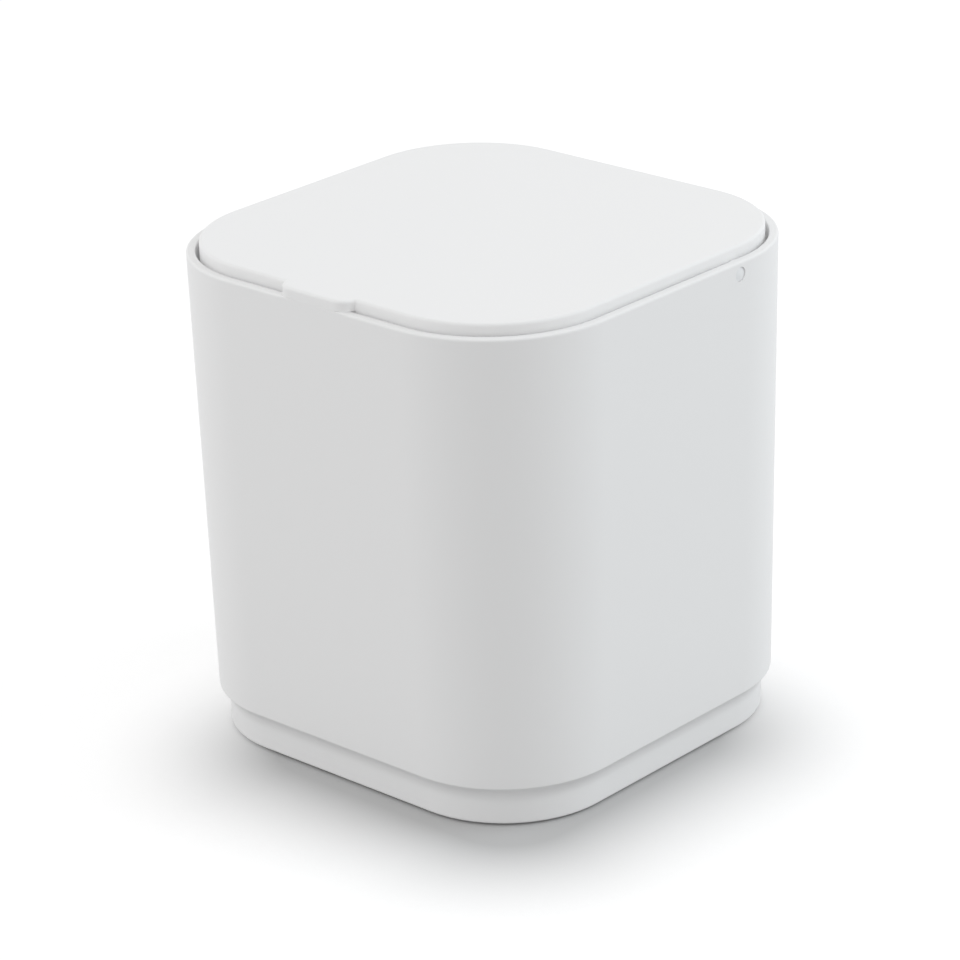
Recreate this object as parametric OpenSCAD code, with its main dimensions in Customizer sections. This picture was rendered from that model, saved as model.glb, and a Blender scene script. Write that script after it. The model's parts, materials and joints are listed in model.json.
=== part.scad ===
// Countertop waste bin with a see-saw lid, moulded in white plastic.
// Millimetres, +Z up. The origin is on the surface that the bin stands on, under the middle of the body.
// The front, with the finger tab, faces -Y.

/* [Body] */
// Outside width at the rim
body_w = 150; // [130:1:190]
// Outside depth at the rim, front to back
body_d = 147.4; // [130:0.2:190]
// Height of the rim above the surface
body_h = 154.3; // [120:0.1:220]
// Outside corner radius at the rim
corner_r = 40.6; // [32:0.2:48]
// Wall thickness
wall_t = 2.8; // [2.2:0.1:3.4]
// Slope of the walls, inwards towards the bottom, in degrees
draft_deg = 1.03; // [0.2:0.01:1.6]
// Rounding of the rim's outer edge
rim_round_out = 1.3; // [0.4:0.1:1.6]
// Rounding of the rim's inner edge
rim_round_in = 0.4; // [0.2:0.1:0.5]

/* [Foot] */
// Height of the body's lower edge above the surface
step_h = 13.5; // [12:0.1:18]
// Height of the slope under that edge
step_slope_h = 3; // [2.6:0.1:5]
// How far the foot stands in from that edge
step_inset = 2.9; // [2:0.1:5]
// Rounding of that edge
step_round = 0.8; // [0.2:0.1:1.5]
// Rounding where the slope runs into the foot
foot_fillet = 7; // [2:0.5:8]
// Rounding round the bottom of the foot
foot_round = 0.8; // [0.4:0.1:2]
// Width of the ring that the foot ends in
foot_ring_w = 4.5; // [4:0.1:8]
// Height of the hollow under the floor
floor_recess = 1.5; // [1:0.1:3]
// Thickness of the floor
floor_t = 2; // [1.6:0.1:3]
// Rounding inside, where the walls meet the floor
floor_fillet = 3.5; // [1:0.1:5]

/* [Foot pads] */
// Diameter of a pad
pad_d = 14; // [10:0.5:18]
// How far the pads hold the foot off the surface
pad_proud = 0.6; // [0.3:0.1:1.5]
// Rounding of a pad's lower edge
pad_round = 0.5; // [0.2:0.1:0.8]
// Gap between a pad's collar and the ring of the foot
pad_inset = 4.5; // [1:0.5:6]
// Gap between a pad and the collar round it
pad_gap = 0.15; // [0.1:0.05:0.3]
// Wall of the collar round a pad
collar_t = 1.4; // [1:0.1:2]
// How far the collar ends above the ring of the foot
collar_rise = 0.4; // [0.2:0.1:0.8]

/* [Lid cover] */
// Height of the lid's top above the rim
lid_proud = 3.3; // [2:0.1:5]
// Gap between the lid's edge and the rim's inner face
lid_gap = 1.2; // [1.1:0.05:2.2]
// Thickness of the lid's top
lid_t = 2; // [1.6:0.1:2.4]
// Thickness of the lid's skirt
skirt_t = 1.8; // [1.6:0.1:2.2]
// Height of the lid from its top to the lower edge of its skirt
lid_h = 12.6; // [12:0.1:15]
// Rounding of the lid's top edge
lid_round = 0.9; // [0.3:0.1:1.2]
// Rounding of the skirt's lower edge
skirt_round = 0.4; // [0.2:0.1:0.6]
// Width of the finger tab
tab_w = 28; // [18:0.5:40]
// Corner radius of the finger tab
tab_round = 5; // [3:0.5:6]

/* [Lid frame] */
// Gap between the frame and the skirt round it
frame_gap = 0.15; // [0.1:0.05:0.3]
// Thickness of the frame's panel
panel_t = 1.6; // [1.2:0.1:2]
// How far the skirt reaches below the panel
panel_lift = 2; // [1:0.1:3]
// Thickness of the frame's rim and ribs
rib_t = 1.2; // [1:0.1:1.6]
// Distance between the ribs
rib_pitch = 29; // [20:1:30]
// Length of a snap hook
hook_l = 8; // [5:0.5:12]
// How far a snap hook stands out
hook_reach = 0.8; // [0.5:0.1:1]
// Height of a snap hook
hook_h = 1.8; // [1.2:0.1:2.4]
// Distance between the two snap hooks on the front, and on the rear
hook_pitch = 44; // [30:1:60]
// Gap round a snap hook in its pocket
hook_gap = 0.15; // [0.1:0.05:0.3]

/* [Hinge] */
// How far the hinge axis lies ahead of the rear corners, on the straight part of the sides
hinge_ahead = 4; // [4:0.1:10]
// Depth of the hinge axis below the rim
hinge_drop = 3.9; // [3.8:0.1:5]
// Diameter of the pin where it runs in the wall
pin_d = 4.4; // [3.6:0.1:4.6]
// Radial clearance of the pin in the wall
pin_clearance = 0.05; // [0.02:0.01:0.1]
// Diameter of the pin where it is pressed into the frame
shank_d = 3; // [2.4:0.1:3.2]
// Length of the pin that is pressed into the frame
shank_l = 8; // [6:0.5:12]
// How far the pin's outer end lies inside the wall's face
pin_recess = 0.1; // [0.1:0.1:0.8]
// Chamfer of both ends of the pin
pin_chamfer = 0.5; // [0.1:0.1:0.6]
// Diameter of the frame's boss round the pin
boss_d = 7.4; // [6:0.1:7.6]
// Diameter of the raised bearing on the wall's inner face
bearing_d = 7.4; // [6:0.1:7.6]
// Side play between the lid and the bearing
side_play = 0.5; // [0.3:0.05:0.8]

/* [Stops] */
// Angle at which the open lid meets its stops
open_deg = 75; // [60:1:80]
// Gap left at the stop when the lid is wide open
stop_gap = 0.1; // [0.05:0.05:0.2]
// Height of the stop below the closed lid
stop_drop = 2; // [1:0.5:4]
// Length of the stop's working face, measured down the wall
stop_h = 12; // [8:0.5:20]
// Thickness of the stop, front to back
stop_t = 3; // [2:0.5:5]
// How far the stop reaches under the lid's side
stop_reach = 2.4; // [1.5:0.1:4]

/* [Hidden] */
$fn = 96;
// Steps in a quarter of a rounded edge
steps = 6;
// Depth by which one shape is sunk into another that it is joined to, or cut past it
sink = 0.5;

// Distances of the four corner centres from the middle
half_x = body_w / 2 - corner_r;
half_y = body_d / 2 - corner_r;

// Slope of the walls as a share, and how far a wall stands in from the rim at a height
slope = tan(draft_deg);
function inset_at(z) = (body_h - z) * slope;

// The foot, measured outwards from the corner centres
step_d = corner_r - inset_at(step_h);
step_turn = atan(step_inset / step_slope_h);
foot_top_z = step_h - step_slope_h;
foot_top_d = step_d - step_inset;
foot_z = pad_proud;
foot_d = foot_top_d - (foot_top_z - foot_z) * slope;
floor_z = foot_z + floor_recess;
inside_z = floor_z + floor_t;
inner_turn_h = wall_t * tan(step_turn / 2);

// The foot pads: their collars, and the distance of their centres from the corner centres along X and Y
collar_d = pad_d + 2 * (pad_gap + collar_t);
collar_z = foot_z + collar_rise;
pad_reach = (foot_d - foot_ring_w - pad_inset - collar_d / 2) / sqrt(2);

// The lid, measured the same way
lid_top_z = body_h + lid_proud;
lid_z = lid_top_z - lid_h;
lid_under_z = lid_top_z - lid_t;
lid_d = corner_r - wall_t - lid_gap;
skirt_d = lid_d - skirt_t;
frame_d = skirt_d - frame_gap;
panel_z = lid_z + panel_lift;
panel_top_z = panel_z + panel_t;
hook_z = panel_top_z + hook_h / 2;
seat_w = tab_w - tab_round;

// The hinge
hinge_y = half_y - hinge_ahead;
hinge_z = body_h - hinge_drop;
hinge_hole_d = pin_d + 2 * pin_clearance;
pin_out_x = body_w / 2 - inset_at(hinge_z) - pin_recess;
pin_seat_x = half_x + frame_d;
pin_end_x = pin_seat_x - shank_l;
bearing_x = half_x + lid_d + side_play;

// The stop: how far back its face lies at a depth below the hinge axis
stop_arm = hinge_z - lid_z + stop_gap;
function stop_y(depth) = hinge_y - (stop_arm - depth * cos(open_deg)) / sin(open_deg);
stop_top = hinge_z - lid_z + stop_drop;
stop_foot = stop_top + stop_h;

// Points along an arc
function arc(x, z, r, from, to, n = steps) =
    [for (i = [0 : n]) let (a = from + (to - from) * i / n) [x + r * cos(a), z + r * sin(a)]];

// Carries a section round a rounded square: X of the section is the distance from the corner centres
module round_square(hx, hy) {
    for (q = [0 : 3])
        translate([q == 0 || q == 3 ? hx : -hx, q < 2 ? hy : -hy, 0]) {
            rotate([0, 0, 90 * q])
                rotate_extrude(angle = 90)
                    children();
            rotate([90, 0, 90 * q])
                linear_extrude(q % 2 == 0 ? 2 * hy : 2 * hx)
                    children();
        }
}

// Fills the middle that the section leaves open
module middle(hx, hy, low, high) {
    translate([-hx, -hy, low])
        cube([2 * hx, 2 * hy, high - low]);
}

// Section of the body, from the middle of the floor's underside round to its top
module body_section() {
    out_z = body_h - rim_round_out;
    in_z = body_h - rim_round_in;
    polygon(concat(
        [[0, floor_z], [foot_d - foot_ring_w, floor_z], [foot_d - foot_ring_w, foot_z]],
        arc(foot_d - foot_round, foot_z + foot_round, foot_round, -90, 0),
        arc(foot_top_d + foot_fillet, foot_top_z - foot_fillet * tan(step_turn / 2),
            foot_fillet, 180, 180 - step_turn, 3),
        arc(step_d - step_round, step_h + step_round * tan(step_turn / 2),
            step_round, -step_turn, 0, 3),
        arc(corner_r - inset_at(out_z) - rim_round_out, out_z, rim_round_out, 0, 90),
        arc(corner_r - inset_at(in_z) - wall_t + rim_round_in, in_z, rim_round_in, 90, 180),
        [[step_d - wall_t, step_h + inner_turn_h], [foot_top_d - wall_t, foot_top_z + inner_turn_h]],
        arc(foot_d - wall_t - floor_fillet, inside_z + floor_fillet, floor_fillet, 0, -90),
        [[0, inside_z]]
    ));
}

// Section of the rim where the finger tab lies: flat on top, with square edges
module seat_section() {
    low_z = body_h - 2 * rim_round_out;
    low_d = corner_r - inset_at(low_z);
    polygon([[low_d - wall_t, low_z], [low_d, low_z], [corner_r, body_h], [corner_r - wall_t, body_h]]);
}

// Section of the lid cover: its top and its skirt
module cover_section() {
    polygon(concat(
        [[0, lid_under_z], [skirt_d, lid_under_z], [skirt_d, lid_z]],
        arc(lid_d - skirt_round, lid_z + skirt_round, skirt_round, -90, 0, 3),
        arc(lid_d - lid_round, lid_top_z - lid_round, lid_round, 0, 90),
        [[0, lid_top_z]]
    ));
}

// Section of the finger tab
module tab_section() {
    polygon(concat(
        [[0, body_h], [tab_round, body_h]],
        arc(tab_round - lid_round, lid_top_z - lid_round, lid_round, 0, 90),
        [[0, lid_top_z]]
    ));
}

// Section of the lid frame: its panel and its rim
module frame_section() {
    polygon([[0, panel_z], [frame_d, panel_z], [frame_d, lid_under_z],
        [frame_d - rib_t, lid_under_z], [frame_d - rib_t, panel_top_z], [0, panel_top_z]]);
}

// How far a rib of the frame runs from the middle, where it crosses the frame at a distance from the middle
function rib_reach(half_along, half_across, offset) = half_along
    + sqrt(pow(frame_d - rib_t / 2, 2) - pow(max(0, abs(offset) + rib_t / 2 - half_across), 2));

// A bar along X, on the hinge axis
module on_axis(from, to, d) {
    translate([from, hinge_y, hinge_z])
        rotate([0, 90, 0])
            cylinder(h = to - from, d = d);
}

module on_both_sides() {
    children();
    mirror([1, 0, 0])
        children();
}

// The places of the six snap hooks, each facing outwards along its own X
module at_hooks() {
    for (side = [-1, 1]) {
        for (x = [-1, 1] * hook_pitch / 2)
            translate([x, side * half_y, 0])
                rotate([0, 0, side * 90])
                    children();
        translate([side * half_x, -hook_pitch / 2, 0])
            rotate([0, 0, side < 0 ? 180 : 0])
                children();
    }
}

// A snap hook: a flat catch below and a slope above, or the pocket that holds it
module hook(extra) {
    translate([0, hook_l / 2 + extra, 0])
        rotate([90, 0, 0])
            linear_extrude(hook_l + 2 * extra)
                polygon([[frame_d - rib_t / 2, hook_z - extra], [frame_d + hook_reach + extra, hook_z - extra],
                    [frame_d + hook_reach + extra, hook_z + hook_h / 3 + extra],
                    [frame_d, hook_z + hook_h + extra], [frame_d - rib_t / 2, hook_z + hook_h + extra]]);
}

// Stop rib on the inside of the right-hand wall
module stop_rib() {
    face = half_x + lid_d - stop_reach;
    translate([face, 0, 0])
        rotate([90, 0, 90])
            linear_extrude(body_w / 2 - inset_at(hinge_z - stop_foot) - wall_t / 2 - face)
                polygon([[stop_y(stop_top), hinge_z - stop_top], [stop_y(stop_foot), hinge_z - stop_foot],
                    [stop_y(stop_foot) - stop_t, hinge_z - stop_foot], [stop_y(stop_top) - stop_t, hinge_z - stop_top]]);
}

module at_pads() {
    for (x = [-1, 1], y = [-1, 1])
        translate([x * (half_x + pad_reach), y * (half_y + pad_reach), 0])
            children();
}

module bin_body() {
    color("white")
        difference() {
            union() {
                round_square(half_x, half_y)
                    body_section();
                middle(half_x, half_y, floor_z, inside_z);
                translate([-seat_w / 2, -half_y, 0])
                    rotate([90, 0, 90])
                        mirror([1, 0, 0])
                            linear_extrude(seat_w)
                                seat_section();
                on_both_sides() {
                    on_axis(bearing_x, body_w / 2 - inset_at(hinge_z) - wall_t / 2, bearing_d);
                    stop_rib();
                }
                at_pads()
                    translate([0, 0, collar_z])
                        difference() {
                            cylinder(h = floor_z - collar_z + floor_t / 2, d = collar_d);
                            translate([0, 0, -sink])
                                cylinder(h = floor_z - collar_z + sink, d = pad_d + 2 * pad_gap);
                        }
            }
            on_both_sides()
                on_axis(bearing_x - sink, body_w / 2 + sink, hinge_hole_d);
        }
}

module lid_cover() {
    color("white")
        difference() {
            union() {
                round_square(half_x, half_y)
                    cover_section();
                middle(half_x, half_y, lid_under_z, lid_top_z);
                intersection() {
                    translate([0, -half_y - corner_r + tab_round + skirt_t + lid_gap + wall_t, 0]) {
                        round_square(tab_w / 2 - tab_round, skirt_t + lid_gap + wall_t)
                            tab_section();
                        middle(tab_w / 2 - tab_round, skirt_t + lid_gap + wall_t, body_h, lid_top_z);
                    }
                    translate([-tab_w / 2 - sink, -body_d / 2 - sink, body_h - sink])
                        cube([tab_w + 2 * sink, sink + wall_t + lid_gap + skirt_t / 2, lid_proud + 2 * sink]);
                }
            }
            on_both_sides()
                on_axis(half_x + skirt_d - sink, half_x + lid_d + sink, hinge_hole_d);
            at_hooks()
                hook(hook_gap);
        }
}

module lid_frame() {
    rib_h = lid_under_z - panel_top_z;
    color("whitesmoke")
        difference() {
            union() {
                round_square(half_x, half_y)
                    frame_section();
                middle(half_x, half_y, panel_z, panel_top_z);
                for (x = [-rib_pitch, 0, rib_pitch])
                    let (reach = rib_reach(half_y, half_x, x))
                        translate([x - rib_t / 2, -reach, panel_top_z - sink])
                            cube([rib_t, 2 * reach, rib_h + sink]);
                for (y = [-rib_pitch, 0, hinge_y])
                    let (reach = rib_reach(half_x, half_y, y))
                        translate([-reach, y - rib_t / 2, panel_top_z - sink])
                            cube([2 * reach, rib_t, rib_h + sink]);
                on_both_sides()
                    on_axis(pin_end_x - rib_t, pin_seat_x, boss_d);
                at_hooks()
                    hook(0);
            }
            on_both_sides()
                on_axis(pin_end_x, pin_seat_x + sink, shank_d);
        }
}

// The right-hand pin: its head runs in the wall, its shank is pressed into the frame
module hinge_pin() {
    head_r = pin_d / 2;
    shank_r = shank_d / 2;
    color("gainsboro")
        translate([0, hinge_y, hinge_z])
            rotate([0, 90, 0])
                rotate_extrude()
                    polygon([[0, pin_end_x], [shank_r - pin_chamfer, pin_end_x], [shank_r, pin_end_x + pin_chamfer],
                        [shank_r, pin_seat_x], [head_r, pin_seat_x], [head_r, pin_out_x - pin_chamfer],
                        [head_r - pin_chamfer, pin_out_x], [0, pin_out_x]]);
}

// A soft pad, glued to the floor's underside inside its collar
module foot_pad(side_x, side_y) {
    color("lightgray")
        translate([side_x * (half_x + pad_reach), side_y * (half_y + pad_reach), 0])
            rotate_extrude()
                polygon(concat([[0, 0]], arc(pad_d / 2 - pad_round, pad_round, pad_round, -90, 0, 3),
                    [[pad_d / 2, floor_z], [0, floor_z]]));
}

bin_body();
lid_cover();
lid_frame();
mirror([1, 0, 0]) hinge_pin();  // hinge_pin_left
hinge_pin();  // hinge_pin_right
foot_pad(-1, -1);  // foot_pad_front_left
foot_pad(1, -1);  // foot_pad_front_right
foot_pad(-1, 1);  // foot_pad_rear_left
foot_pad(1, 1);  // foot_pad_rear_right
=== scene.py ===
import json
import math

import bmesh
import bpy
from mathutils import Matrix, Vector


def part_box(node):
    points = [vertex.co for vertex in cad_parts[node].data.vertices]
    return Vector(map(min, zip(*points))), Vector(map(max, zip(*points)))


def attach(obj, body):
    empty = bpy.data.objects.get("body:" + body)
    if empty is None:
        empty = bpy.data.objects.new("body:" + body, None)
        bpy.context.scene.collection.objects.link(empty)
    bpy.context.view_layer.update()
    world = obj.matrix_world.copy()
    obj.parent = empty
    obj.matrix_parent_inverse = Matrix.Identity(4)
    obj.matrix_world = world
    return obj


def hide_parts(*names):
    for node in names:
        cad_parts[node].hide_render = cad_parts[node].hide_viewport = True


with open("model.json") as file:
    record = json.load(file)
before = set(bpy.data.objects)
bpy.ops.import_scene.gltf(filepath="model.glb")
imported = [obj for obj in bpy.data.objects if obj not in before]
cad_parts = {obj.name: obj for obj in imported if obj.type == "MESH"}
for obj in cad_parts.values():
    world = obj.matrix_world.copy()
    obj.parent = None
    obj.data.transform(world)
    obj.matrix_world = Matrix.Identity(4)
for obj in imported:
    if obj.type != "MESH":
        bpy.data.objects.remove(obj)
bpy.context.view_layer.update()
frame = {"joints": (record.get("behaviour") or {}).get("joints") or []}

MM = 0.001

# Places of the pieces, from the frame
BODY_LOW, BODY_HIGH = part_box("bin_body")
LID_LOW, LID_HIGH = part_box("lid_cover")
PANEL_LOW, PANEL_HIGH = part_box("lid_frame")
PIN_LOW, PIN_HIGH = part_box("hinge_pin_right")
PAD_LOW, PAD_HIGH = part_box("foot_pad_front_right")
SWING = frame["joints"][0]
HINGE = Vector(SWING["pos_m"])
OPEN_ANGLE = math.radians(SWING["range_deg"][1])

# The body: its corners' centres lie HALF_X and HALF_Y from the middle
CORNER_R = 40.6 * MM
HALF_X = 34.4 * MM
HALF_Y = 33.1 * MM
RIM_Z = BODY_HIGH.z
WALL = 2.8 * MM
DRAFT = math.tan(math.radians(1.03))
RIM_ROUND_OUT = 0.75 * MM
RIM_ROUND_IN = 0.4 * MM

# The seat for the tab: the rim's rounding shrinks to SEAT_ROUND there and comes back
# over SEAT_FADE
SEAT_ROUND = 0.05 * MM
SEAT_HALF = 10.5 * MM
SEAT_FADE = 3 * MM

# The stepped foot, the floor, and the foot pads with their collars
FOOT_Z = BODY_LOW.z
STEP_Z = 13.5 * MM
STEP_SLOPE = 3 * MM
STEP_INSET = 2.9 * MM
STEP_ROUND = 0.8 * MM
FOOT_FILLET = 7 * MM
FOOT_ROUND = 0.8 * MM
FOOT_RING = 4.5 * MM
FLOOR_Z = PAD_HIGH.z
FLOOR_T = 2 * MM
FLOOR_FILLET = 3.5 * MM
COLLAR_Z = FOOT_Z + 0.4 * MM
COLLAR_GAP = 0.15 * MM
COLLAR_T = 1.4 * MM
COLLAR_SOFT = 0.25 * MM
PAD_SOFT = 0.5 * MM
PAD_GROOVE = 0.35 * MM
PAD_GROOVES_AT = (0.35, 0.65)

# The lid, with its edge LID_EDGE in from the body's outline
LID_EDGE = WALL + 1.2 * MM
LID_CORNER_R = CORNER_R - LID_EDGE
LID_SIDE = HALF_X + CORNER_R - LID_EDGE
LID_T = 2 * MM
LID_ROUND = 0.95 * MM
SKIRT_T = 1.8 * MM
SKIRT_ROUND = 0.4 * MM
TAB_HALF = 14 * MM
TAB_ROUND = 5 * MM
TAB_NOOK = 0.5 * MM
SEAM = 0.02 * MM
FRAME_GAP = 0.15 * MM
FRAME_SOFT = 0.5 * MM
PANEL_Z = LID_LOW.z + 2 * MM

# The hinge
PIN_R = (PIN_HIGH.z - PIN_LOW.z) / 2
HOLE_R = PIN_R + 0.05 * MM
SHANK_R = 1.5 * MM
SHANK_L = 8 * MM
PIN_CHAMFER = 0.5 * MM
PIN_SOFT = 0.15 * MM
PIN_DOME = 0.3 * MM
BEARING_R = 3.7 * MM
BEARING_SOFT = 0.3 * MM
BOSS_PAST = 1.2 * MM
BOSS_SOFT = 0.2 * MM
SIDE_PLAY = 0.5 * MM

# The stop ribs: the open lid's skirt comes to rest STOP_GAP from them
STOP_GAP = 0.1 * MM
STOP_TOP = 2 * MM
STOP_L = 12 * MM
STOP_T = 3 * MM
STOP_REACH = 2.4 * MM
STOP_SOFT = 0.3 * MM

# Round marks that the mould's pins leave, some share of the way out to the foot pads,
# and the gate mark under the floor
MARK_R = 3 * MM
MARK_DEEP = 0.15 * MM
FLOOR_MARKS_AT = 0.6
PANEL_MARKS_AT = 0.75
GATE_R = 2.2 * MM
GATE_DEEP = 0.5 * MM

# How finely the shells are lofted and the round pieces turned
CORNER_STEPS = 30
ROUND_STEPS = 8
TURN_STEPS = 64
HOLE_STEPS = 96
MARK_STEPS = 48
HOLD = 0.35 * MM
SPACING = 7 * MM
MERGE = 0.002 * MM
SHARP_ANGLE = math.radians(32)

# A lofted section stops here, short of the corners' centres, and the opening that it
# leaves is filled
SECTION_END = -CORNER_R / 2


class Value:
    """A node's output that takes part in sums: each operation adds its Math node."""

    def __init__(self, nodes, socket):
        self.nodes = nodes
        self.socket = socket

    def __add__(self, other):
        return self.nodes.math("ADD", self, other)

    def __sub__(self, other):
        return self.nodes.math("SUBTRACT", self, other)

    def __rsub__(self, other):
        return self.nodes.math("SUBTRACT", other, self)

    def __mul__(self, other):
        return self.nodes.math("MULTIPLY", self, other)

    def __truediv__(self, other):
        return self.nodes.math("DIVIDE", self, other)

    def __rtruediv__(self, other):
        return self.nodes.math("DIVIDE", other, self)

    def __mod__(self, other):
        return self.nodes.math("MODULO", self, other)

    def __rmod__(self, other):
        return self.nodes.math("MODULO", other, self)

    __radd__ = __add__
    __rmul__ = __mul__


class Nodes:
    """Adds nodes to a shader tree or a geometry tree: a type, its settings, then its sockets."""

    def __init__(self, tree):
        self.tree = tree

    def node(self, kind, settings=None, sockets=None):
        """A new node: its settings come first, because they can change its sockets."""
        node = self.tree.nodes.new(kind)
        for name, value in (settings or {}).items():
            setattr(node, name, value)
        for name, value in (sockets or {}).items():
            self.feed(self.find(node.inputs, name), value)
        return node

    def find(self, sockets, name):
        """A socket by its number, or by its name among those that are in use."""
        if isinstance(name, int):
            return sockets[name]
        return next(s for s in sockets if s.name == name and s.enabled)

    def feed(self, socket, value):
        """Links a value to the socket, or sets a plain number, colour or object."""
        if isinstance(value, Value):
            self.tree.links.new(value.socket, socket)
        else:
            socket.default_value = value

    def get(self, kind, settings=None, sockets=None, name=0):
        """One output of a new node."""
        node = self.node(kind, settings, sockets)
        return Value(self, self.find(node.outputs, name))

    def math(self, operation, *values):
        return self.get("ShaderNodeMath", {"operation": operation}, dict(enumerate(values)))

    def vector(self, operation, *values, name=0, **named):
        sockets = {**dict(enumerate(values)), **named}
        return self.get("ShaderNodeVectorMath", {"operation": operation}, sockets, name)

    def mix_vectors(self, share, a, b):
        return self.get("ShaderNodeMix", {"data_type": "VECTOR"},
                        {"Factor": share, "A": a, "B": b}, "Result")

    def mix_colours(self, share, a, b):
        return self.get("ShaderNodeMix", {"data_type": "RGBA"},
                        {"Factor": share, "A": a, "B": b}, "Result")

    def part(self, vector, axis):
        """The X, Y or Z of a vector."""
        return self.get("ShaderNodeSeparateXYZ", None, {0: vector}, axis)


# Outlines and sections, as lists of points

def arc(x, y, r, start, end, steps=ROUND_STEPS):
    """Points along an arc, angles in degrees."""
    turns = [math.radians(start + (end - start) * i / steps) for i in range(steps + 1)]
    return [(x + r * math.cos(a), y + r * math.sin(a)) for a in turns]


def held(points, closed=False, least=3 * HOLD):
    """Adds points along each straight stretch and close to its ends, so that flat faces
    shade flat."""
    ends = points[1:] + points[:1] if closed else points[1:]
    result = []
    for a, b in zip(points, ends):
        length = math.dist(a, b)
        result.append(a)
        if length < least:
            continue
        inner = max(1, round((length - 2 * HOLD) / SPACING))
        for i in range(inner + 1):
            share = (HOLD + (length - 2 * HOLD) * i / inner) / length
            result.append(tuple(p + (q - p) * share for p, q in zip(a, b)))
    return result if closed else result + [points[-1]]


def rounded_square(radius):
    """The closed outline round the corners' four centres, anticlockwise from the
    right-hand side."""
    points = []
    for turn, (x, y) in enumerate([(1, 1), (-1, 1), (-1, -1), (1, -1)]):
        points += arc(x * HALF_X, y * HALF_Y, radius, 90 * turn, 90 * turn + 90, CORNER_STEPS)
    return held(points, closed=True, least=SPACING)


def tab_bulge(edge_y, front_y):
    """The finger tab's outline, from left to right along the front."""
    round_x = TAB_HALF - TAB_ROUND
    round_y = front_y + TAB_ROUND
    nook_y = edge_y - TAB_NOOK
    lean = math.asin((round_y - nook_y) / (TAB_ROUND + TAB_NOOK))
    nook_x = round_x + (TAB_ROUND + TAB_NOOK) * math.cos(lean)
    lean = math.degrees(lean)
    return (arc(-nook_x, nook_y, TAB_NOOK, 90, lean, steps=5)
            + arc(-round_x, round_y, TAB_ROUND, 180 + lean, 270, steps=12)
            + arc(round_x, round_y, TAB_ROUND, 270, 360 - lean, steps=12)
            + arc(nook_x, nook_y, TAB_NOOK, 180 - lean, 90, steps=5))


def lid_outlines():
    """The lid's plain edge and its edge with the tab, with as many points each."""
    edge_y = -HALF_Y - LID_CORNER_R
    before, after = split_front(rounded_square(LID_CORNER_R), TAB_HALF + 3 * TAB_NOOK)
    bulge = held(tab_bulge(edge_y, -HALF_Y - CORNER_R))
    reach = bulge[-1][0]
    last = len(bulge) - 1
    straight = [(-reach + 2 * reach * i / last, edge_y) for i in range(len(bulge))]
    return before + straight + after, before + bulge + after


def split_front(points, reach):
    """The points before and after the stretch of the front where something else goes."""
    front = min(y for x, y in points)
    middle = [i for i, (x, y) in enumerate(points) if y < front + MERGE and abs(x) < reach]
    return points[:middle[0]], points[middle[-1] + 1:]


def with_seat(outline):
    """The outline with a Z that is 1 along the tab's seat, eases off at its ends and is 0
    everywhere else."""
    front = min(y for x, y in outline)
    weighted = []
    for x, y in outline:
        edge = (SEAT_HALF + SEAT_FADE - abs(x)) / SEAT_FADE if y < front + MERGE else 0
        share = max(0.0, min(1.0, edge))
        weighted.append((x, y, share * share * (3 - 2 * share)))
    return weighted


def body_section(round_out):
    """Section of the body: how far out from the rim's outline, and how high."""
    turn = math.degrees(math.atan(STEP_INSET / STEP_SLOPE))
    bend = math.tan(math.radians(turn / 2))
    foot_top = STEP_Z - STEP_SLOPE
    inside = FLOOR_Z + FLOOR_T
    ring = -STEP_INSET - FOOT_RING
    return held(
        [(SECTION_END, FLOOR_Z), (ring, FLOOR_Z), (ring, FOOT_Z)]
        + arc(-STEP_INSET - FOOT_ROUND, FOOT_Z + FOOT_ROUND, FOOT_ROUND, -90, 0)
        + arc(-STEP_INSET + FOOT_FILLET, foot_top - FOOT_FILLET * bend, FOOT_FILLET,
              180, 180 - turn, steps=10)
        + arc(-STEP_ROUND, STEP_Z + STEP_ROUND * bend, STEP_ROUND, -turn, 0)
        + arc(-round_out, RIM_Z - round_out, round_out, 0, 90)
        + arc(-WALL + RIM_ROUND_IN, RIM_Z - RIM_ROUND_IN, RIM_ROUND_IN, 90, 180)
        + [(-WALL, STEP_Z + WALL * bend), (-STEP_INSET - WALL, foot_top + WALL * bend)]
        + arc(-STEP_INSET - WALL - FLOOR_FILLET, inside + FLOOR_FILLET, FLOOR_FILLET, 0, -90)
        + [(SECTION_END, inside)])


def lid_section():
    """Section of the lid cover; the third number is 1 where it follows the outline with
    the tab."""
    under = LID_HIGH.z - LID_T
    skirt = LID_LOW.z
    tab_z = RIM_Z + SEAM
    lower = held([(SECTION_END, under), (-SKIRT_T, under), (-SKIRT_T, skirt)]
                 + arc(-SKIRT_ROUND, skirt + SKIRT_ROUND, SKIRT_ROUND, -90, 0, steps=4)
                 + [(0, tab_z)])
    top = LID_HIGH.z
    upper = held([(0, tab_z)] + arc(-LID_ROUND, top - LID_ROUND, LID_ROUND, 0, 90)
                 + [(-LID_ROUND - HOLD, top)])
    inner = [(-3 * LID_ROUND, top), (SECTION_END, top)]
    return [(*p, 0) for p in lower] + [(*p, 1) for p in upper] + [(*p, 0) for p in inner]


def frame_section():
    """Section of the panel under the lid, measured from the lid's plain edge."""
    edge = -SKIRT_T - FRAME_GAP
    return held([(SECTION_END, PANEL_Z)]
                + arc(edge - FRAME_SOFT, PANEL_Z + FRAME_SOFT, FRAME_SOFT, -90, 0)
                + [(edge, PANEL_HIGH.z), (SECTION_END, PANEL_HIGH.z)])


# The geometry tree that lofts every moulded shell

LOFT_INPUTS = {
    "Outline": "NodeSocketObject", "Tab outline": "NodeSocketObject",
    "Section": "NodeSocketObject", "Seat section": "NodeSocketObject",
    "Outline points": "NodeSocketInt", "Section points": "NodeSocketInt",
    "Rim height": "NodeSocketFloat", "Draft": "NodeSocketFloat",
    "Merge distance": "NodeSocketFloat", "Material": "NodeSocketMaterial",
}


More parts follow.
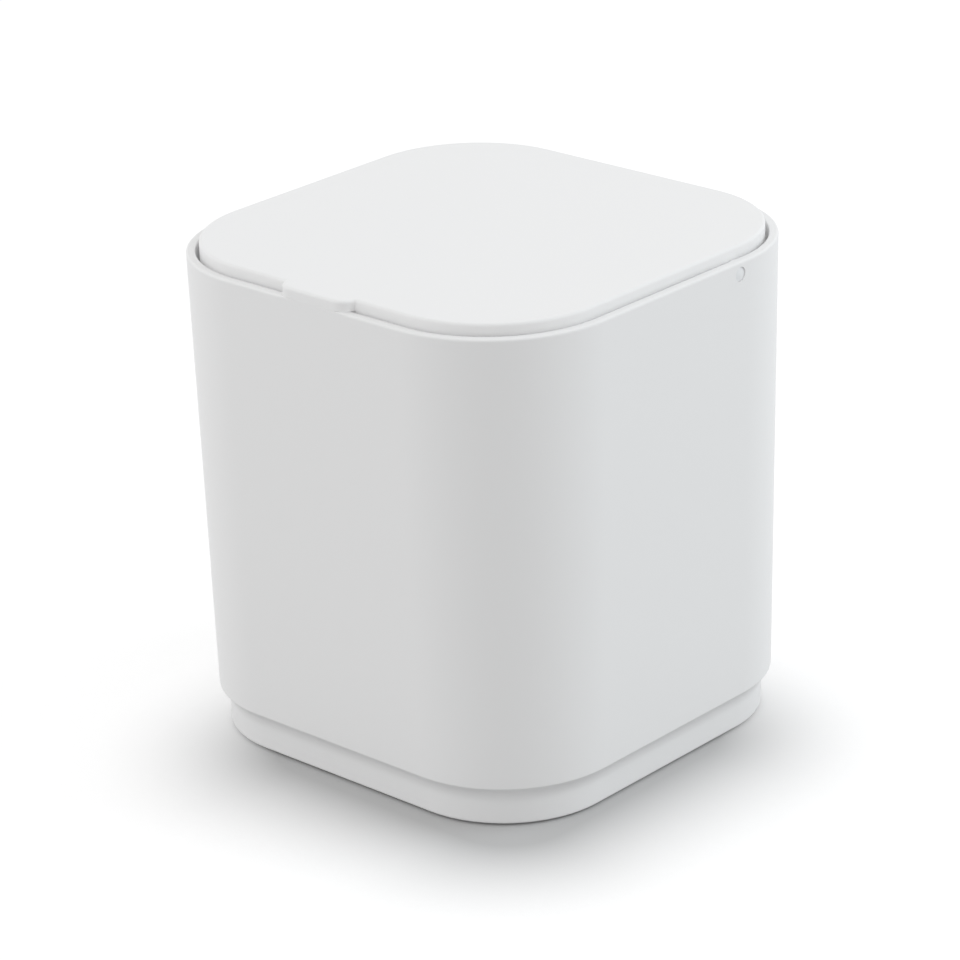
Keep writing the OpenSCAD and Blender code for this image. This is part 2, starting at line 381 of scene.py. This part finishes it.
def loft_tree():
    """Carries a section round an outline. The outline's Z says how much of the seat section
    applies there, and the section's Z how much of the tab outline."""
    tree = bpy.data.node_groups.new("moulded_shell", "GeometryNodeTree")
    for name, kind in LOFT_INPUTS.items():
        tree.interface.new_socket(name, in_out="INPUT", socket_type=kind)
    tree.interface.new_socket("Shell", in_out="OUTPUT", socket_type="NodeSocketGeometry")
    n = Nodes(tree)
    group = n.node("NodeGroupInput")
    given = {name: Value(n, group.outputs[name]) for name in LOFT_INPUTS}

    size = {"Vertices X": given["Outline points"] + 1, "Vertices Y": given["Section points"]}
    grid = n.get("GeometryNodeMeshGrid", None, size, "Mesh")
    index = n.get("GeometryNodeInputIndex")
    along = index % given["Section points"]
    around = n.math("FLOOR", index / given["Section points"]) % given["Outline points"]
    position = n.get("GeometryNodeInputPosition")
    tangent = n.get("GeometryNodeInputTangent")

    def sample(name, field, at):
        curve = n.get("GeometryNodeObjectInfo", None, {"Object": given[name]}, "Geometry")
        return n.get("GeometryNodeSampleIndex", {"data_type": "FLOAT_VECTOR", "clamp": True},
                     {"Geometry": curve, "Value": field, "Index": at}, "Value")

    def outward(name):
        across = n.vector("CROSS_PRODUCT", sample(name, tangent, around), (0, 0, 1))
        return n.vector("NORMALIZE", across)

    plain = sample("Outline", position, around)
    section = n.mix_vectors(n.part(plain, "Z"), sample("Section", position, along),
                            sample("Seat section", position, along))
    height = n.part(section, "Y")
    follows_tab = n.part(section, "Z")
    out = n.part(section, "X") - (given["Rim height"] - height) * given["Draft"]
    base = n.mix_vectors(follows_tab, plain, sample("Tab outline", position, around))
    flat = n.vector("MULTIPLY", base, (1, 1, 0))
    normal = n.mix_vectors(follows_tab, outward("Outline"), outward("Tab outline"))
    normal = n.vector("NORMALIZE", normal)
    shift = n.vector("SCALE", normal, Scale=out)
    lift = n.get("ShaderNodeCombineXYZ", None, {"Z": height})
    place = n.vector("ADD", n.vector("ADD", flat, shift), lift)

    shaped = n.get("GeometryNodeSetPosition", None, {"Geometry": grid, "Position": place})
    merged = n.get("GeometryNodeMergeByDistance", None,
                   {"Geometry": shaped, "Distance": given["Merge distance"]})
    real = n.get("GeometryNodeRealizeInstances", None, {"Geometry": merged})
    done = n.get("GeometryNodeSetMaterial", None,
                 {"Geometry": real, "Material": given["Material"]})
    n.node("NodeGroupOutput", None, {"Shell": done})
    return tree


def add_object(name, data):
    """A new object in the scene."""
    made = bpy.data.objects.new(name, data)
    bpy.context.scene.collection.objects.link(made)
    return made


def curve_object(name, points, closed):
    """A poly curve that holds an outline or a section for the lofting tree."""
    curve = bpy.data.curves.new(name, "CURVE")
    curve.dimensions = "3D"
    spline = curve.splines.new("POLY")
    spline.points.add(len(points) - 1)
    for point, place in zip(spline.points, points):
        point.co = (*place, *[0] * (3 - len(place)), 1)
    spline.use_cyclic_u = closed
    return add_object(name, curve)


def finished_mesh(maker):
    """The maker's mesh with its modifiers worked in."""
    bpy.context.view_layer.update()
    graph = bpy.context.evaluated_depsgraph_get()
    return bpy.data.meshes.new_from_object(maker.evaluated_get(graph))


def lofted(name, tree, material, outline, section,
           tab_outline=None, seat_section=None, draft=0.0):
    """A closed shell: the section carried round the outline, with the open middles filled."""
    shapes = {
        "Outline": curve_object("outline", outline, True),
        "Tab outline": curve_object("tab_outline", tab_outline or outline, True),
        "Section": curve_object("section", section, False),
        "Seat section": curve_object("seat_section", seat_section or section, False),
    }
    values = {**shapes, "Outline points": len(outline), "Section points": len(section),
              "Rim height": RIM_Z, "Draft": draft, "Merge distance": MERGE, "Material": material}
    maker = add_object(name, bpy.data.meshes.new(name))
    modifier = maker.modifiers.new("loft", "NODES")
    modifier.node_group = tree
    for item in tree.interface.items_tree:
        if item.in_out == "INPUT":
            modifier[item.identifier] = values[item.name]
    maker.update_tag()
    mesh = finished_mesh(maker)
    maker.modifiers.remove(modifier)
    maker.data = mesh
    for shape in shapes.values():
        bpy.data.objects.remove(shape)
    work = bmesh.new()
    work.from_mesh(mesh)
    bmesh.ops.dissolve_degenerate(work, edges=work.edges, dist=MERGE / 4)
    bmesh.ops.holes_fill(work, edges=[e for e in work.edges if e.is_boundary], sides=0)
    bmesh.ops.recalc_face_normals(work, faces=work.faces)
    work.to_mesh(mesh)
    work.free()
    return maker


# Turned and extruded pieces

def mesh_piece(name, work, material):
    """An object from a bmesh, with its doubled points merged and its faces turned out."""
    bmesh.ops.remove_doubles(work, verts=work.verts, dist=MERGE)
    bmesh.ops.recalc_face_normals(work, faces=work.faces)
    mesh = bpy.data.meshes.new(name)
    work.to_mesh(mesh)
    work.free()
    mesh.materials.append(material)
    return add_object(name, mesh)


def turned(name, profile, material, place, steps=TURN_STEPS):
    """A profile of radius and height, turned round its axis and put in place."""
    work = bmesh.new()
    turns = [2 * math.pi * i / steps for i in range(steps)]
    rings = []
    for radius, height in held(profile):
        if radius < MERGE:
            rings.append([work.verts.new((0, 0, height))] * steps)
        else:
            circle = [(radius * math.cos(a), radius * math.sin(a), height) for a in turns]
            rings.append([work.verts.new(point) for point in circle])
    for low, high in zip(rings, rings[1:]):
        for i in range(steps):
            j = (i + 1) % steps
            corners = list(dict.fromkeys([low[i], low[j], high[j], high[i]]))
            if len(corners) > 2:
                work.faces.new(corners)
    work.transform(place)
    return mesh_piece(name, work, material)


def peg(name, radius, length, soft, material, place):
    """A round peg with a softened near end."""
    profile = ([(0, 0)] + arc(radius - soft, soft, soft, -90, 0, steps=4)
               + [(radius, length), (0, length)])
    return turned(name, profile, material, place)


def round_cutter(name, radius, low, high, material, place, steps):
    """A plain round bar that is cut out of a piece."""
    profile = [(0, low), (radius, low), (radius, high), (0, high)]
    return turned(name, profile, material, place, steps)


def extruded(name, points, depth, material, place, bevel):
    """A flat outline given a thickness, with softened edges."""
    work = bmesh.new()
    face = work.faces.new([work.verts.new((x, y, 0)) for x, y in points])
    thick = bmesh.ops.extrude_face_region(work, geom=[face])["geom"]
    far = [v for v in thick if isinstance(v, bmesh.types.BMVert)]
    bmesh.ops.translate(work, verts=far, vec=(0, 0, depth))
    bmesh.ops.bevel(work, geom=list(work.edges), offset=bevel, segments=3,
                    profile=0.5, affect="EDGES")
    work.transform(place)
    return mesh_piece(name, work, material)


def combined(piece, others, operation):
    """Joins the others to the piece, or cuts them out of it."""
    for other in others:
        step = piece.modifiers.new(operation.lower(), "BOOLEAN")
        step.operation = operation
        step.solver = "MANIFOLD"
        step.object = other
    mesh = finished_mesh(piece)
    piece.modifiers.clear()
    piece.data = mesh
    for other in others:
        bpy.data.objects.remove(other)


def smoothed(piece):
    """Shades the piece smooth, but for its sharp edges."""
    piece.data.shade_smooth()
    piece.data.set_sharp_from_angle(angle=SHARP_ANGLE)
    return piece


def mirrored(matrix, side):
    """The same place on the right for side 1, and on the left for side -1."""
    return Matrix.Diagonal((side, 1, 1, 1)) @ matrix


def on_hinge(x, side):
    """A place on the hinge line, x out from the middle, where a turned piece points outwards."""
    place = Matrix.Translation((x, HINGE.y, HINGE.z)) @ Matrix.Rotation(math.pi / 2, 4, "Y")
    return mirrored(place, side)


def pin_holes(start_x, length, material):
    """Cutters for the two pin holes, each from start_x outwards."""
    return [round_cutter("hole", HOLE_R, 0, length, material, on_hinge(start_x, side), HOLE_STEPS)
            for side in (-1, 1)]


# Materials

WHITE = (1, 1, 1)

# The plastic's flow lines and mottle: their sizes, and how far each one changes the tint
# and the roughness
FLOW_SIZE = 60 * MM
FLOW_STRETCH = (1, 1, 0.25)
FLOW_TINT = 0.5
FLOW_DULL = 0.06
MOTTLE_SIZE = 4 * MM
MOTTLE_TINT = 0.3
MOTTLE_DULL = 0.10
PATCHINESS = 0.55

# The plastic's etched grain, its darkest tint and its refraction
GRAIN_SIZE = 0.28 * MM
GRAIN_DEEP = 0.012 * MM
PLASTIC_DARK = 0.985
PLASTIC_IOR = 1.49

# The rubber's speckle, and how dark and dull it makes it
SPECKLE_SIZE = 0.4 * MM
SPECKLE_DEEP = 0.03 * MM
SPECKLE_RELIEF = 0.6
SPECKLE_DULL = 0.15
RUBBER_DARK = 0.85
RUBBER_ROUGH = 0.6


def tone(colour, share=1.0):
    """A colour times a share, with the fourth number that a colour socket takes."""
    return (*[c * share for c in colour], 1)


def cleared(block):
    """The nodes of a material or a world, with none in it yet."""
    block.use_nodes = True
    block.node_tree.nodes.clear()
    return Nodes(block.node_tree)


def looked_at(n):
    """1 for the camera's own rays and for reflected and refracted ones, 0 for soft light."""
    path = n.node("ShaderNodeLightPath")
    seen = Value(n, path.outputs["Is Camera Ray"]) + Value(n, path.outputs["Is Glossy Ray"])
    return n.math("MINIMUM", seen + Value(n, path.outputs["Is Transmission Ray"]), 1.0)


def moulded_plastic(name, colour, roughness, relief=0.5):
    """White moulded plastic: a fine etched grain, faint flow shading and a satin surface."""
    material = bpy.data.materials.new(name)
    n = cleared(material)
    place = n.get("ShaderNodeTexCoord", None, None, "Object")

    def noise(size, detail, vector=place):
        """Uneven patches of about this size; their level is 0.5 on average."""
        sockets = {"Vector": vector, "Scale": 1 / size, "Detail": detail,
                   "Roughness": PATCHINESS}
        return n.get("ShaderNodeTexNoise", None, sockets, "Fac")

    flow = noise(FLOW_SIZE, 2.0, n.vector("MULTIPLY", place, FLOW_STRETCH))
    mottle = noise(MOTTLE_SIZE, 3.0)
    etched = noise(GRAIN_SIZE, 2.0)
    shade = (flow - 0.5) * FLOW_TINT + (mottle - 0.5) * MOTTLE_TINT + 0.5
    base = n.mix_colours(shade, tone(colour, PLASTIC_DARK), tone(colour))
    dull = (mottle - 0.5) * MOTTLE_DULL + (flow - 0.5) * FLOW_DULL + roughness
    bump = n.get("ShaderNodeBump", None,
                 {"Strength": relief, "Distance": GRAIN_DEEP, "Height": etched}, "Normal")
    sockets = {"Base Color": base, "Roughness": dull, "Normal": bump, "IOR": PLASTIC_IOR}
    shader = n.get("ShaderNodeBsdfPrincipled", None, sockets, "BSDF")
    n.node("ShaderNodeOutputMaterial", None, {"Surface": shader})
    return material


def soft_rubber(name, colour):
    """Pale elastomer: dull, with a fine speckle."""
    material = bpy.data.materials.new(name)
    n = cleared(material)
    place = n.get("ShaderNodeTexCoord", None, None, "Object")
    speckle = n.get("ShaderNodeTexNoise", None,
                    {"Vector": place, "Scale": 1 / SPECKLE_SIZE, "Detail": 4.0}, "Fac")
    base = n.mix_colours(speckle, tone(colour, RUBBER_DARK), tone(colour))
    bump = n.get("ShaderNodeBump", None,
                 {"Strength": SPECKLE_RELIEF, "Distance": SPECKLE_DEEP, "Height": speckle},
                 "Normal")
    dull = speckle * SPECKLE_DULL + RUBBER_ROUGH
    sockets = {"Base Color": base, "Roughness": dull, "Normal": bump}
    shader = n.get("ShaderNodeBsdfPrincipled", None, sockets, "BSDF")
    n.node("ShaderNodeOutputMaterial", None, {"Surface": shader})
    return material


def studio_floor(name, colour):
    """A pale floor that takes the bin's real shadow. To the camera and in reflections it glows
    white, but the glow is held back in a painted shadow round the bin."""
    material = bpy.data.materials.new(name)
    n = cleared(material)
    place = n.get("ShaderNodeTexCoord", None, None, "Object")
    # Painted shadow: the glow fades out inside a soft rounded square round the bin, set off
    # towards the camera
    place = n.vector("SUBTRACT", place, (*PAINTED_SHADOW_MIDDLE, 0))
    outside = n.vector("SUBTRACT", n.vector("ABSOLUTE", place), (HALF_X, HALF_Y, 0))
    outside = n.vector("MAXIMUM", outside, (0, 0, 0))
    gap = n.vector("LENGTH", outside, name="Value") - PAINTED_SHADOW_CORNER_R
    near = 1 - n.math("MINIMUM", n.math("MAXIMUM", gap / PAINTED_SHADOW_FADE, 0.0), 1.0)
    painted_shadow_depth = n.math("POWER", near, PAINTED_SHADOW_FALL)
    glow_with_painted_shadow = n.mix_colours(painted_shadow_depth, tone(WHITE, FLOOR_GLOW), tone(WHITE, 0.0))
    matt = n.get("ShaderNodeBsdfDiffuse", None, {"Color": tone(WHITE, colour)}, "BSDF")
    shown = n.get("ShaderNodeBsdfDiffuse", None, {"Color": tone(WHITE, FLOOR_SHADE)}, "BSDF")
    light = n.get("ShaderNodeEmission", None, {"Color": glow_with_painted_shadow}, "Emission")
    both = n.get("ShaderNodeAddShader", None, {0: shown, 1: light})
    shader = n.get("ShaderNodeMixShader", None, {"Fac": looked_at(n), 1: matt, 2: both})
    n.node("ShaderNodeOutputMaterial", None, {"Surface": shader})
    return material


# Pieces

def make_body(tree, material):
    """The tub, with its pin holes, bearings, stop ribs and pad collars."""
    body = lofted("moulded_body", tree, material, with_seat(rounded_square(CORNER_R)),
                  body_section(RIM_ROUND_OUT), seat_section=body_section(SEAT_ROUND),
                  draft=DRAFT)
    inner_x = LID_SIDE + SIDE_PLAY
    length = BODY_HIGH.x - WALL / 2 - inner_x
    added = []
    for side in (-1, 1):
        place = on_hinge(inner_x, side)
        added.append(peg("bearing", BEARING_R, length, BEARING_SOFT, material, place))
        added.append(stop_rib(side, material))
    added += [pad_collar(middle, material) for middle in pad_middles()]
    combined(body, added, "UNION")
    marks = [round_mark(Vector((0, 0, 0)), FLOOR_Z, GATE_R, GATE_DEEP, material)]
    marks += [round_mark(middle * FLOOR_MARKS_AT, FLOOR_Z + FLOOR_T, MARK_R, MARK_DEEP, material)
              for middle in pad_middles()]
    holes = pin_holes(inner_x - WALL, 4 * WALL, material)
    combined(body, marks + holes, "DIFFERENCE")
    return smoothed(body)


def pad_middles():
    """The middles of the four foot pads, seen from above."""
    for end in ("front", "rear"):
        for side in ("left", "right"):
            low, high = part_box(f"foot_pad_{end}_{side}")
            yield Vector(((low.x + high.x) / 2, (low.y + high.y) / 2, 0))


def pad_collar(middle, material):
    """The low ring under the floor that holds a foot pad."""
    inner = (PAD_HIGH.x - PAD_LOW.x) / 2 + COLLAR_GAP
    outer = inner + COLLAR_T
    top = FLOOR_Z + FLOOR_T / 2
    low = COLLAR_Z + COLLAR_SOFT
    profile = (arc(inner + COLLAR_SOFT, low, COLLAR_SOFT, 180, 270, steps=3)
               + arc(outer - COLLAR_SOFT, low, COLLAR_SOFT, -90, 0, steps=3)
               + [(outer, top), (inner, top), (inner, low)])
    return turned("pad_collar", profile, material, Matrix.Translation(middle))


def round_mark(middle, face, radius, depth, material):
    """A cutter for a shallow round mark in a level face at this height."""
    place = Matrix.Translation((middle.x, middle.y, 0))
    return round_cutter("mark", radius, face - depth, face + depth, material, place, MARK_STEPS)


def stop_rib(side, material):
    """The rib inside a side wall that the open lid's skirt comes to rest on."""
    skirt = HINGE.z - LID_LOW.z
    arm = skirt + STOP_GAP
    top = skirt + STOP_TOP
    foot = top + STOP_L
    back = [HINGE.y - (arm - depth * math.cos(OPEN_ANGLE)) / math.sin(OPEN_ANGLE)
            for depth in (top, foot)]
    points = [(back[0], HINGE.z - top), (back[1], HINGE.z - foot),
              (back[1] - STOP_T, HINGE.z - foot), (back[0] - STOP_T, HINGE.z - top)]
    inner_x = LID_SIDE - STOP_REACH
    outer_x = BODY_HIGH.x - (RIM_Z - HINGE.z + foot) * DRAFT - WALL / 2
    lie = Matrix(((0, 0, 1, inner_x), (1, 0, 0, 0), (0, 1, 0, 0), (0, 0, 0, 1)))
    return extruded("stop_rib", points, outer_x - inner_x, material, mirrored(lie, side),
                    bevel=STOP_SOFT)


def make_lid(tree, material):
    """The lid's cover with its skirt and finger tab."""
    plain, with_tab = lid_outlines()
    lid = lofted("lid_shell", tree, material, plain, lid_section(), tab_outline=with_tab)
    combined(lid, pin_holes(HALF_X + CORNER_R / 2, CORNER_R, material), "DIFFERENCE")
    return smoothed(lid)


def make_frame(tree, material):
    """The panel under the lid, with its two pin bosses."""
    panel = lofted("lid_underside", tree, material, rounded_square(LID_CORNER_R),
                   frame_section())
    bosses = [peg("boss", HINGE.z - PANEL_LOW.z, SHANK_L + BOSS_PAST, BOSS_SOFT, material,
                  on_hinge(PIN_LOW.x - BOSS_PAST, side)) for side in (-1, 1)]
    combined(panel, bosses, "UNION")
    marks = [round_mark(middle * PANEL_MARKS_AT, PANEL_Z, MARK_R, MARK_DEEP, material)
             for middle in pad_middles()]
    combined(panel, marks, "DIFFERENCE")
    return smoothed(panel)


def make_pin(side, material):
    """A hinge pin: its head runs in the wall, with a slightly domed end, and its shank
    sits in the lid's boss."""
    end = PIN_HIGH.x - PIN_LOW.x
    edge = PIN_R - PIN_SOFT
    dome_r = (edge ** 2 + PIN_DOME ** 2) / (2 * PIN_DOME)
    lean = math.degrees(math.asin(edge / dome_r))
    profile = ([(0, 0), (SHANK_R - PIN_CHAMFER, 0), (SHANK_R, PIN_CHAMFER),
                (SHANK_R, SHANK_L), (PIN_R, SHANK_L)]
               + arc(edge, end - PIN_DOME - PIN_SOFT, PIN_SOFT, 0, 90 - lean, steps=4)
               + arc(0, end - dome_r, dome_r, 90 - lean, 90, steps=6))
    name = "pin_right" if side > 0 else "pin_left"
    return smoothed(turned(name, profile, material, on_hinge(PIN_LOW.x, side)))


def make_pad(name, node, material):
    """A soft foot pad with two shallow grooves in its sole."""
    low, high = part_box(node)
    middle = (low + high) / 2
    radius = (high.x - low.x) / 2
    height = high.z - low.z
    profile = [(0, 0)]
    for share in PAD_GROOVES_AT:
        at = radius * share
        profile += [(at - PAD_GROOVE, 0), (at - PAD_GROOVE / 2, PAD_GROOVE),
                    (at + PAD_GROOVE / 2, PAD_GROOVE), (at + PAD_GROOVE, 0)]
    profile += (arc(radius - PAD_SOFT, PAD_SOFT, PAD_SOFT, -90, 0, steps=5)
                + [(radius, height), (0, height)])
    place = Matrix.Translation((middle.x, middle.y, low.z))
    return smoothed(turned(name, profile, material, place))


def put(piece, body, slot, *nodes):
    """Says what the piece moves with and the solids that it stands in for. Its slot is not used.
    """
    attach(piece, body)
    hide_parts(*nodes)


# Camera, floor and light

# Lamps: name, azimuth, elevation, size, power, colour, and whether they cast shadows
LAMPS = [
    ("left_lamp", -50, 25, 1.0, 1.9, WHITE, True),
    ("right_lamp", 135, 25, 1.0, 7.8, (0.88, 0.955, 1), True),
    ("left_fill", -50, 8, 1.0, 3.7, WHITE, False),
    ("front_fill", 44, 20, 1.6, 1.5, WHITE, False),
]
LAMP_DISTANCE = 1.6
LAMP_AIM = Vector((0, 0, 0.08))
SKY = 0.805

# The floor's own colour, and the floor as the camera sees it: a painted shadow, a soft
# # outline round the bin set off towards the camera, holds back its glow, and out from it the
# floor turns white
FLOOR_R = 6
FLOOR_STEPS = 96
FLOOR_COLOUR = 0.45
FLOOR_SHADE = 0.53
FLOOR_GLOW = 0.545
PAINTED_SHADOW_MIDDLE = (18.5 * MM, -20.2 * MM)
PAINTED_SHADOW_CORNER_R = CORNER_R - STEP_INSET - 17.7 * MM
PAINTED_SHADOW_FADE = 63 * MM
PAINTED_SHADOW_FALL = 2.0

CAMERA_AT = Vector((0.763245, -0.836574, 0.541176))
CAMERA_FORWARD = Vector((-0.62527, 0.68173, -0.37983))
CAMERA_ROLL = math.radians(1.80)
CAMERA_LENS = 150.31
CAMERA_SENSOR = 36
CAMERA_CLIP = (0.1, 20)


def make_camera():
    """The camera, with the place, turn and lens that were fitted to the photo."""
    camera = add_object("camera", bpy.data.cameras.new("camera"))
    camera.data.lens = CAMERA_LENS
    camera.data.sensor_width = CAMERA_SENSOR
    camera.data.clip_start, camera.data.clip_end = CAMERA_CLIP
    forward = CAMERA_FORWARD.normalized()
    level = forward.cross(Vector((0, 0, 1))).normalized()
    upright = level.cross(forward)
    right = level * math.cos(CAMERA_ROLL) - upright * math.sin(CAMERA_ROLL)
    up = right.cross(forward)
    axes = Matrix((right, up, -forward)).transposed()
    camera.matrix_world = Matrix.Translation(CAMERA_AT) @ axes.to_4x4()
    bpy.context.scene.camera = camera


def make_floor(material):
    """A wide round floor under the bin."""
    work = bmesh.new()
    bmesh.ops.create_circle(work, cap_ends=True, segments=FLOOR_STEPS, radius=FLOOR_R)
    mesh = bpy.data.meshes.new("floor")
    work.to_mesh(mesh)
    work.free()
    mesh.materials.append(material)
    floor = add_object("floor", mesh)


def softbox(name, azimuth, elevation, size, power, colour, casts_shadow):
    """A square lamp that faces the bin. Azimuth 0 is the front, -Y, and 90 is the right, +X.
    No lamp is mirrored in the plastic: its sheen comes from the sky alone."""
    turn = math.radians(azimuth)
    rise = math.radians(elevation)
    level = math.cos(rise)
    way = Vector((math.sin(turn) * level, -math.cos(turn) * level, math.sin(rise)))
    lamp = add_object(name, bpy.data.lights.new(name, "AREA"))
    lamp.data.shape = "SQUARE"
    lamp.data.size = size
    lamp.data.energy = power
    lamp.data.color = colour
    lamp.data.use_shadow = casts_shadow
    lamp.visible_glossy = False
    lamp.location = LAMP_AIM + way * LAMP_DISTANCE
    lamp.rotation_euler = way.to_track_quat("Z", "Y").to_euler()


def make_world(strength):
    """An even sky: it lights with this strength and shows plain white where it is seen."""
    world = bpy.data.worlds.new("studio")
    bpy.context.scene.world = world
    n = cleared(world)
    level = looked_at(n) * (1 - strength) + strength
    sky = n.get("ShaderNodeBackground", None, {"Color": tone(WHITE), "Strength": level},
                "Background")
    n.node("ShaderNodeOutputWorld", None, {"Surface": sky})


def main():
    """Makes the materials and the nine pieces, then the stage round them."""
    body_plastic = moulded_plastic("body_plastic", (0.85, 0.85, 0.85), roughness=0.42)
    lid_plastic = moulded_plastic("lid_plastic", (0.86, 0.86, 0.86), roughness=0.42)
    frame_plastic = moulded_plastic("frame_plastic", (0.83, 0.83, 0.83), roughness=0.5)
    pin_plastic = moulded_plastic("pin_plastic", (0.82, 0.83, 0.84), roughness=0.3, relief=0.2)
    pad_rubber = soft_rubber("pad_rubber", (0.5, 0.5, 0.5))
    tree = loft_tree()

    put(make_body(tree, body_plastic), "bin", "body_plastic", "bin_body")
    put(make_lid(tree, lid_plastic), "lid", "lid_plastic", "lid_cover")
    put(make_frame(tree, frame_plastic), "lid", "frame_plastic", "lid_frame")
    put(make_pin(-1, pin_plastic), "lid", "pin_plastic", "hinge_pin_left")
    put(make_pin(1, pin_plastic), "lid", "pin_plastic", "hinge_pin_right")
    for end in ("front", "rear"):
        for side in ("left", "right"):
            node = f"foot_pad_{end}_{side}"
            put(make_pad(f"pad_{end}_{side}", node, pad_rubber), "bin", "pad_rubber", node)

    make_camera()
    make_floor(studio_floor("studio_floor", FLOOR_COLOUR))
    for lamp in LAMPS:
        softbox(*lamp)
    make_world(SKY)
    bpy.context.scene.view_settings.view_transform = "Standard"


main()
